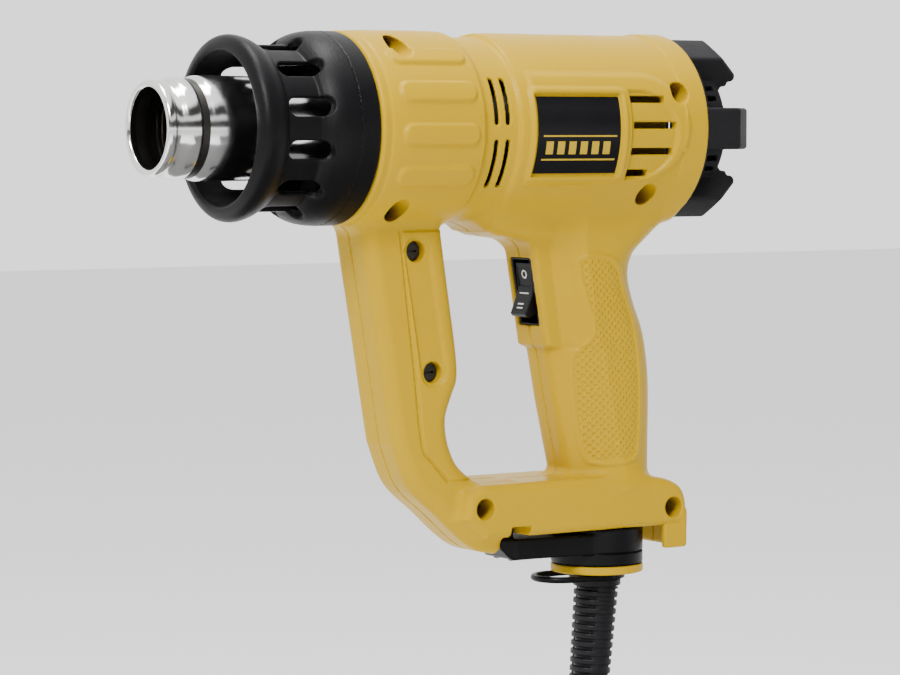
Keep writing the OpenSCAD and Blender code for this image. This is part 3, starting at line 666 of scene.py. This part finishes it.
def curved_patch(name, x0, x1, z0, z1, radius, side, material):
    """A thin skin on the barrel between two X and two heights, on the side of that sign."""
    across, up = 40, 24
    xs = np.linspace(x0, x1, across)
    angles = np.linspace(math.asin(z0 / radius), math.asin(z1 / radius), up)
    points, faces = [], []
    for r in (radius, radius - 0.5):
        for a in angles:
            for x in xs:
                points.append((x, side * r * math.cos(a), r * math.sin(a)))
    n = across * up
    for j in range(up - 1):
        for i in range(across - 1):
            q = (j * across + i, j * across + i + 1, (j + 1) * across + i + 1, (j + 1) * across + i)
            q = q if side < 0 else q[::-1]
            faces += [q, tuple(k + n for k in q[::-1])]
    rim = list(range(across)) + [j * across + across - 1 for j in range(1, up)]
    rim += [(up - 1) * across + i for i in range(across - 2, -1, -1)]
    rim += [j * across for j in range(up - 2, 0, -1)]
    for a, b in zip(rim, rim[1:] + rim[:1]):
        q = (a, a + n, b + n, b)
        faces.append(q if side < 0 else q[::-1])
    piece = mesh_piece(name, points, faces, material)
    piece.data.polygons.foreach_set("use_smooth", [False] * len(piece.data.polygons))
    return piece


def make_labels():
    """A black film on each side with two thin lines and a row of six bars between them."""
    for side, word in ((-1, "left"), (1, "right")):
        film = curved_patch(f"label_film_{word}", 144.6, 182.2, -16.8, 11.9, 36.35, side, LABEL)
        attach(film, "housing")
        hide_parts(f"label_{word}")
        lines = [(147, 180.5, -3.1, -2.5), (147, 180.5, -11.9, -11.3)]
        lines += [(148.5 + 5.2 * i, 151.7 + 5.2 * i, -9.6, -4.8) for i in range(6)]
        for i, place in enumerate(lines):
            print_line = curved_patch(f"label_print_{word}_{i}", *place, 36.43, side, STRIPE)
            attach(print_line, "housing")


# ---- nozzle and guard ----


def arc_points(cx, cr, radius, start, end, count):
    """Points of a round stretch in an [x, radius] outline, angles in degrees."""
    return [(cx + radius * math.cos(math.radians(a)), cr + radius * math.sin(math.radians(a)))
            for a in np.linspace(start, end, count)]


def make_nozzle():
    """The steel tube: polished outside, blackened inside by the heat."""
    rim = arc_points(1.5, 16.0, 1.5, 270, 90, 12)
    collar = smooth_line([(3.2, 17.35), (4.0, 16.9), (5.6, 16.9), (7.0, 17.5), (9.0, 18.3), (12.0, 18.35),
                          (14.0, 17.9), (15.6, 17.8), (17.2, 18.3), (19.0, 19.0), (21.5, 19.1)])
    tube = [(40, 19), (70.4, 19), (71, 19.6), (71, 27.6), (71.4, 28), (71.8, 27.6), (71.9, 19.4),
            (72.6, 19), (127, 19)]
    throat = smooth_line([(12.5, 17.9), (10.6, 17.2), (8.8, 16.2), (7, 15.9), (3.5, 15.8)], 3)
    outside = rim + collar + tube
    inside = [(127, 18), (14, 18)] + throat
    nozzle = spun("steel_nozzle", outside + inside, CHROME, 160)
    nozzle.data.materials.append(DARK_STEEL)
    for face in nozzle.data.polygons:
        face.material_index = int(face.index % len(outside + inside) >= len(outside))
    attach(nozzle, "housing")
    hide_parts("nozzle")


GUARD = (smooth_line([(28.8, 29.0), (29.1, 30.6), (30.2, 32.8), (32, 33.9), (34.5, 33.9), (37.5, 33.0),
                      (40.2, 31.5), (41.2, 30.6)], 3)
         + [(41.8, 30.4), (54.6, 30.4), (55.2, 30.6)]
         + smooth_line([(56.2, 31.8), (58.5, 33.6), (61.5, 34.9), (65, 35.6), (68.2, 35.8)], 3)
         + [(68.5, 35.55), (68.8, 35.85), (75.8, 35.85), (76.4, 35.6), (76.7, 35.2)])
GUARD_SLOTS = 12
GUARD_BORE = [(28.8, 28.8), (30.2, 27.8), (34, 28.0), (55, 28.2), (60, 30.6), (66, 31.9), (76.7, 31.9)]


def guard_field(x, y, z):
    r = np.hypot(y, z)
    body = turned(x, r, GUARD, 0.5)
    bore = r - np.interp(x, [p[0] for p in GUARD_BORE], [p[1] for p in GUARD_BORE])
    body = cut(body, bore, 0.7)
    pitch = 2 * math.pi / GUARD_SLOTS
    angle = np.arctan2(z, y)
    spoke = (angle / pitch - np.floor(angle / pitch) - 0.5) * pitch
    slot = box_2d(x - 50.5, spoke * r, 8.5, 3.5, 3.4)
    return cut(body, slot, 0.7)


def make_guard():
    guard = solid_from("slotted_guard", guard_field, (27, -38, -38), (78.5, 38, 38), grid_size(0.62),
                       GUARD_BLACK)
    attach(guard, "guard")
    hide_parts("heat_guard")


# ---- rear cover ----

LUG = [(222, 27), (222, 36.1), (239.3, 36.1), (248.4, 28.6), (249, 27), (248.2, 25.4), (246.2, 25.0),
       (246.0, 23.2), (243.6, 22.8), (243.4, 21.2), (240.5, 20.6), (236, 20), (226, 22)]
LUGS = 6
DRUM = [(224, 34.6), (226, 34.6), (226.6, 27.6), (238.5, 27.2), (240, 26)]
DRUM_SLOTS = 36


def cover_field(x, y, z):
    """A slotted drum with six lugs that the tool can stand on."""
    r = np.hypot(y, z)
    body = turned(x, r, DRUM, 0.8)
    angle = np.arctan2(z, -y)
    spacing = 2 * math.pi / DRUM_SLOTS
    fold = (angle / spacing - np.floor(angle / spacing) - 0.5) * spacing
    slots = np.maximum(box_2d(x - 232.5, fold * r, 4.2, 1.0, 0.4), 23 - r)
    body = cut(body, slots, 0.3)
    grid_line = y / 6 - np.floor(y / 6) - 0.5
    holes = np.maximum(np.abs(grid_line) * 6 - 1.6, np.maximum(r - 21, 236 - x))
    body = cut(body, holes, 0.4)
    body = cut(body, np.maximum(r - 22.5, x - 237.5), 0.4)
    for i in range(LUGS):
        a = 2 * math.pi * i / LUGS
        out = -y * math.cos(a) + z * math.sin(a)
        along = y * math.sin(a) + z * math.cos(a)
        lug = plate(outline_2d(x, out, LUG), along, 8, 1.4)
        body = np.minimum(body, both(lug, r - 36.5, 0.8))
    return body


def make_cover():
    cover = solid_from("rear_grille", cover_field, (222, -38, -38), (251, 38, 38), grid_size(0.62),
                       DARK_GREY)
    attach(cover, "housing")
    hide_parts("rear_cover")


# ---- stand, ring, loop and sleeve ----


ARM_SIDE = [(200, 14.5), (186, 14.2), (153.5, 10.5), (147.2, 7.5)]


def stand_field(x, y, z):
    """A hub with a thin groove round it and an arm reaching forward, with a stop at its end."""
    r = np.hypot(x - STAND_X, y)
    hub = both(r - 18, np.maximum(z + 154.9, -169 - z), 0.6)
    groove = np.maximum(np.abs(z + 164.2) - 0.25, 17.4 - r)
    hub = cut(hub, groove, 0.3)
    far_side = [(px, -py) for px, py in ARM_SIDE]
    arm = plate(outline_2d(x, y, far_side + ARM_SIDE[::-1]), z + 160.5, 4.0, 0.9)
    arm = both(arm, (147.4 - x) * 0.75 + (-z - 160.2) * 0.66, 0.8)
    nub = plate(box_2d(x - 150.6, z + 155.2, 2.6, 2.7, 0.8), y, 7.6, 0.8)
    body = either(hub, either(arm, nub, 1.2), 0.8)
    return cut(body, r - 11.05, 0.3)


def make_stand():
    stand = solid_from("swivel_stand", stand_field, (144, -21, -171), (218, 21, -150), grid_size(0.5),
                       BLACK)
    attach(stand, "stand")
    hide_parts("support_stand")


def ring_field(x, y, z):
    r = np.hypot(x - STAND_X, y)
    ring = both(r - 18.1, np.maximum(z + 169.3, -172.5 - z), 0.7)
    return cut(ring, r - 8.5, 0.3)


def make_ring():
    ring = solid_from("yellow_ring", ring_field, (177, -20, -174), (218, 20, -168), grid_size(0.5),
                      YELLOW)
    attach(ring, "housing")
    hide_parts("retaining_ring")


def loop_field(x, y, z):
    """A collar round the bush with a round-section eye reaching forward."""
    r = np.hypot(x - STAND_X, y)
    collar = np.maximum(both(r - 11, np.abs(z + 174) - 1.2, 0.4), 8.5 - r)
    eye = np.hypot(np.hypot(x - 179.5, y) - 9.8, z + 174) - 1.25
    arms = np.hypot(np.abs(y) - 9.9, z + 174) - 1.25
    arms = np.maximum(arms, np.maximum(179.5 - x, x - 197.5))
    eye = np.maximum(eye, x - 181)
    return cut(either(collar, np.minimum(eye, arms), 1.0), r - 8.5, 0.3)


def make_loop():
    loop = solid_from("hanging_eye", loop_field, (166, -13, -176.5), (211, 13, -171.5),
                      grid_size(0.35), BLACK)
    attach(loop, "hanger")
    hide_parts("hanging_ring")


def sleeve_field(x, y, z):
    """A tapered rubber sleeve with a smooth band front and back and notches down each side."""
    dx, dz = x - STAND_X, z - SLEEVE_TOP
    along = -(dz * math.cos(SLEEVE_LEAN) + dx * math.sin(SLEEVE_LEAN))
    across = dx * math.cos(SLEEVE_LEAN) - dz * math.sin(SLEEVE_LEAN)
    r = np.hypot(across, y)
    radius = 8.8 - 1.2 * along / SLEEVE_LEN
    core = both(r - radius + 1.7, np.maximum(-1 - along, along - SLEEVE_LEN), 0.5)
    rib_place = along / RIB_PITCH
    ribs = np.abs(rib_place - np.floor(rib_place) - 0.5) * RIB_PITCH - 1.05
    rib = both(both(r - radius, ribs, 0.5), np.maximum(2 - along, along - SLEEVE_LEN), 0.4)
    band = np.maximum(r - radius + 0.25, np.abs(across) - 4.2)
    band = both(band, np.maximum(-1 - along, along - SLEEVE_LEN), 0.4)
    collar = both(np.hypot(dx, y) - 9.4, np.maximum(z + 175.5, -178.2 - z), 0.5)
    bore = np.maximum(r - 3.7, SLEEVE_LEN - 12 - along)
    return cut(np.minimum(either(core, np.minimum(rib, band), 0.4), collar), bore, 0.3)


def make_sleeve():
    sleeve = solid_from("ribbed_sleeve", sleeve_field, (181, -11, -235), (208.5, 11, -174.5),
                        grid_size(0.38), RUBBER)
    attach(sleeve, "housing")
    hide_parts("cord_sleeve")


# ---- switch ----


def from_switch(depth, y, up):
    return (SWITCH_X + depth * math.cos(LEAN) - up * math.sin(LEAN), y,
            SWITCH_Z + depth * math.sin(LEAN) + up * math.cos(LEAN))


# The rocker from the side: depth behind the switch's face, and height along it.
ROCKER = [(1.2, 11), (0.6, 0.8), (0.1, -0.4), (-4.4, -7.7), (-3.9, -8.8), (-2.4, -9.5), (1.6, -9),
          (5, -3.5), (9, -3), (9, 3), (5, 5), (4, 11)]


def rocker_field(x, y, z):
    depth, up = to_switch(x, z)
    body = plate(outline_2d(depth, up, ROCKER), y, 5.3, 0.5)
    bore = np.hypot(depth - 6, up) - 1.3
    dish = np.maximum(np.abs(y) - 4.3, box_2d(depth - 0.6, up - 6.0, 0.6, 4.1, 0.5))
    return cut(cut(body, bore, 0.2), dish, 0.3)


def bezel_field(x, y, z):
    """The switch frame: a thin wall round the opening, open to the front and as deep as the switch."""
    depth, up = to_switch(x, z)
    outer = np.maximum(box_2d(y, up, 6.9, 13.1, 1.0), np.maximum(0.5 - depth, depth - 20.5))
    inner = np.maximum(box_2d(y, up, 5.65, 12.4, 0.6), depth - 14)
    return cut(outer, inner, 0.3)


def mark(name, depth, up, half_y, half_up, tilt, hole=0.0):
    """A thin printed mark on the rocker: a bar, or an oval ring if it has a hole."""
    count = 28
    power = 1.0 if hole else 0.25
    points = []
    for scale in (1.0, hole) if hole else (1.0,):
        for i in range(count):
            a = 2 * math.pi * i / count
            c, s = math.cos(a), math.sin(a)
            u = half_y * scale * math.copysign(abs(c) ** power, c)
            v = half_up * scale * math.copysign(abs(s) ** power, s)
            points.append(from_switch(depth - v * math.sin(tilt), u, up + v * math.cos(tilt)))
    faces = [tuple(range(count))]
    if hole:
        faces = [(i, (i + 1) % count, count + (i + 1) % count, count + i) for i in range(count)]
    piece = mesh_piece(name, points, faces, MARK)
    solidify = piece.modifiers.new("thickness", "SOLIDIFY")
    solidify.thickness = 0.00012
    solidify.offset = 0
    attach(piece, "rocker")
    return piece


def make_switch():
    grid = grid_size(0.3)
    rocker = solid_from("rocker", rocker_field, (154, -6.5, -74), (175, 6.5, -49), grid, BLACK)
    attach(rocker, "rocker")
    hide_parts("rocker_switch")
    bezel = solid_from("switch_frame", bezel_field, (158, -8, -78), (188, 8, -45), grid, BLACK)
    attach(bezel, "housing")
    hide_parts("switch_body")
    mark("mark_off", 1.1, 6.6, 1.7, 1.7, 0.0, hole=0.62)
    mark("mark_one", -0.12, -0.6, 3.0, 0.28, 0.0)
    knee = math.atan2(4.4, 7.3)
    for i, offset in enumerate((-0.8, 0.8)):
        up = -5.0 + offset * math.cos(knee)
        depth = 0.1 - (-0.4 - up) * math.tan(knee) - 0.12
        mark(f"mark_two_{i}", depth, up, 1.9, 0.3, -knee)


# ---- plug and tie ----


PLUG_X = TAIL[0][0]
PLUG_ROUND = 4.4


def plug_field(x, y, z):
    """A flat moulded plug with a ribbed neck and a sunk finger pad on each face."""
    half = np.interp(z, [-402, -398, -382, -373, -368, -364, -352], [15.5, 17.5, 17.5, 9.5, 6.6, 5.4, 4.9])
    thick = np.interp(z, [-402, -382, -368, -352], [7.0, 7.0, 5.6, 4.8])
    off_x = np.abs(x - PLUG_X)
    body = np.hypot(np.maximum(np.abs(y) - half + PLUG_ROUND, 0), np.maximum(off_x - thick + PLUG_ROUND, 0))
    body = both(body - PLUG_ROUND, np.maximum(z + 353, -402 - z), 0.8)
    ribs = 0.315 * np.cos((z + 352) * 2 * math.pi / 2.6) * step(z + 364, 0.6)
    pads = 0.5 * step(-box_2d(z + 388, y, 9.0, 11.5, 3), 0.7) * step(off_x - 5, 0.8)
    return body + ribs + pads


def make_plug():
    plug = solid_from("plug_moulding", plug_field, (101, -19.5, -404), (119, 19.5, -350),
                      grid_size(0.5), RUBBER)
    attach(plug, "housing")
    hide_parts("plug_body")
    return plug


TIE_ANGLE = math.radians(225)
TIE_HALF = 4
TIE_INNER, TIE_OUTER = 11.9, 13.0


def make_tie():
    """A ribbed strap round the bundle of turns."""
    around, ribs = 64, 7
    top = [(TIE_OUTER + 0.3 + 0.25 * (i % 2), TIE_HALF * (2 * i / ribs - 1)) for i in range(1, ribs)]
    profile = [(TIE_INNER, -TIE_HALF), (TIE_OUTER, -TIE_HALF)] + top
    profile += [(TIE_OUTER, TIE_HALF), (TIE_INNER, TIE_HALF)]
    points = []
    for i in range(around):
        a = 2 * math.pi * i / around
        for r, t in profile:
            out = COIL_R + r * math.cos(a)
            x = COIL_X + out * math.cos(TIE_ANGLE) - t * math.sin(TIE_ANGLE)
            z = COIL_Z + out * math.sin(TIE_ANGLE) + t * math.cos(TIE_ANGLE)
            points.append((x, r * math.sin(a), z))
    tie = mesh_piece("coil_strap", points, ring_faces(around, len(profile)), BLACK)
    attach(tie, "housing")
    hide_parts("cord_tie")
    return tie


# ---- carried-over parts, floor and light ----

FINISHES = {
    "housing_screws": DARK_STEEL, "heat_shield": STEEL, "mica_sleeve": MICA, "heater_core": CERAMIC,
    "heater_fins": MICA, "heater_coil": WIRE_METAL, "thermal_cutout": STEEL, "fan_duct": BLACK, "fan": BLACK,
    "motor_shaft": STEEL, "motor_can": DARK_STEEL, "motor_plate": DARK_GREY, "motor_brushes": BRASS,
    "rectifier_board": BOARD, "diodes": BLACK, "switch_tabs": BRASS, "wire_live": BROWN,
    "wire_neutral": BLUE, "cord_clamp": BLACK, "clamp_screws": STEEL, "swivel_bush": BLACK,
    "stand_pads": RUBBER, "plug_pins": BRASS,
}


def finish_nodes():
    for name, material in FINISHES.items():
        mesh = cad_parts[name].data
        mesh.materials.clear()
        mesh.materials.append(material)


FLOOR_Z = -0.33


def make_floor():
    bpy.ops.mesh.primitive_plane_add(size=16, location=(0, 0, FLOOR_Z))
    floor = bpy.context.object
    floor.name = "floor"
    finish = surface_finish("floor_white", (0.93, 0.93, 0.93), 0.005, (0.6, 0.7), 200, 0.0)
    floor.data.materials.append(finish)


def make_cards():
    """Dark studio cards that only the gloss mirrors: they leave the floor plain."""
    for name, x, y, above, length in (("card_right", 0.75, -0.95, 0.004, 1.1),
                                      ("card_under", 0.1, -0.15, 0.002, 1.3)):
        bpy.ops.mesh.primitive_plane_add(size=1, location=(x, y, FLOOR_Z + above))
        card = bpy.context.object
        card.name = name
        card.scale = (length, 1, 1)
        card.visible_camera = card.visible_diffuse = card.visible_shadow = False
        card.data.materials.append(surface_finish(name, (0.12, 0.12, 0.12), 0.05, (0.8, 0.9), 100, 0.0))


LIT_POINT = (-0.03, 0, 0.05)


def area_light(name, place, size, power):
    light = bpy.data.lights.new(name, "AREA")
    light.shape = "RECTANGLE"
    light.size, light.size_y = size
    light.energy = power
    item = bpy.data.objects.new(name, light)
    bpy.context.scene.collection.objects.link(item)
    item.location = place
    item.rotation_euler = (Vector(LIT_POINT) - Vector(place)).to_track_quat("-Z", "Y").to_euler()


def make_light():
    """A pale world behind the tool, bands of light and dark for its mirrors in front, and two lamps."""
    world = bpy.data.worlds.new("studio")
    bpy.context.scene.world = world
    world.use_nodes = True
    tree = world.node_tree
    where = tree.nodes.new("ShaderNodeTexCoord")
    parts = tree.nodes.new("ShaderNodeSeparateXYZ")
    tree.links.new(where.outputs["Generated"], parts.inputs["Vector"])
    bands = tree.nodes.new("ShaderNodeValToRGB")
    for place, level in ((0.02, 0.6), (0.04, 0.02), (0.24, 0.02), (0.30, 0.5), (0.40, 0.5), (0.46, 0.02),
                         (0.66, 0.03), (0.78, 0.8)):
        bands.color_ramp.elements.new(place).color = grey(level)
    bands.color_ramp.elements[0].color = grey(0.9)
    bands.color_ramp.elements[-1].color = grey(0.8)
    tree.links.new(parts.outputs["Z"], bands.inputs["Fac"])
    side = tree.nodes.new("ShaderNodeMapRange")
    side.inputs["From Min"].default_value = -0.15
    side.inputs["From Max"].default_value = 0.25
    tree.links.new(parts.outputs["Y"], side.inputs["Value"])
    mix = tree.nodes.new("ShaderNodeMix")
    mix.data_type = "RGBA"
    tree.links.new(side.outputs["Result"], mix.inputs["Factor"])
    tree.links.new(bands.outputs["Color"], mix.inputs["A"])
    mix.inputs["B"].default_value = grey(0.72)
    tree.links.new(mix.outputs["Result"], tree.nodes["Background"].inputs["Color"])
    tree.nodes["Background"].inputs["Strength"].default_value = 2.3
    area_light("key", (-0.9, -0.8, 1.0), (0.45, 0.45), 34)
    area_light("top", (-0.1, 0.1, 1.3), (0.9, 0.4), 22)


cord.data.materials.append(RUBBER)
make_nozzle()
make_guard()
make_housing()
make_labels()
make_cover()
make_stand()
make_ring()
make_loop()
make_sleeve()
make_switch()
plug = make_plug()
tie = make_tie()
finish_nodes()
make_floor()
make_cards()
make_light()

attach(cord, "housing")
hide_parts("power_cord", "cord_coil", "cord_tail")
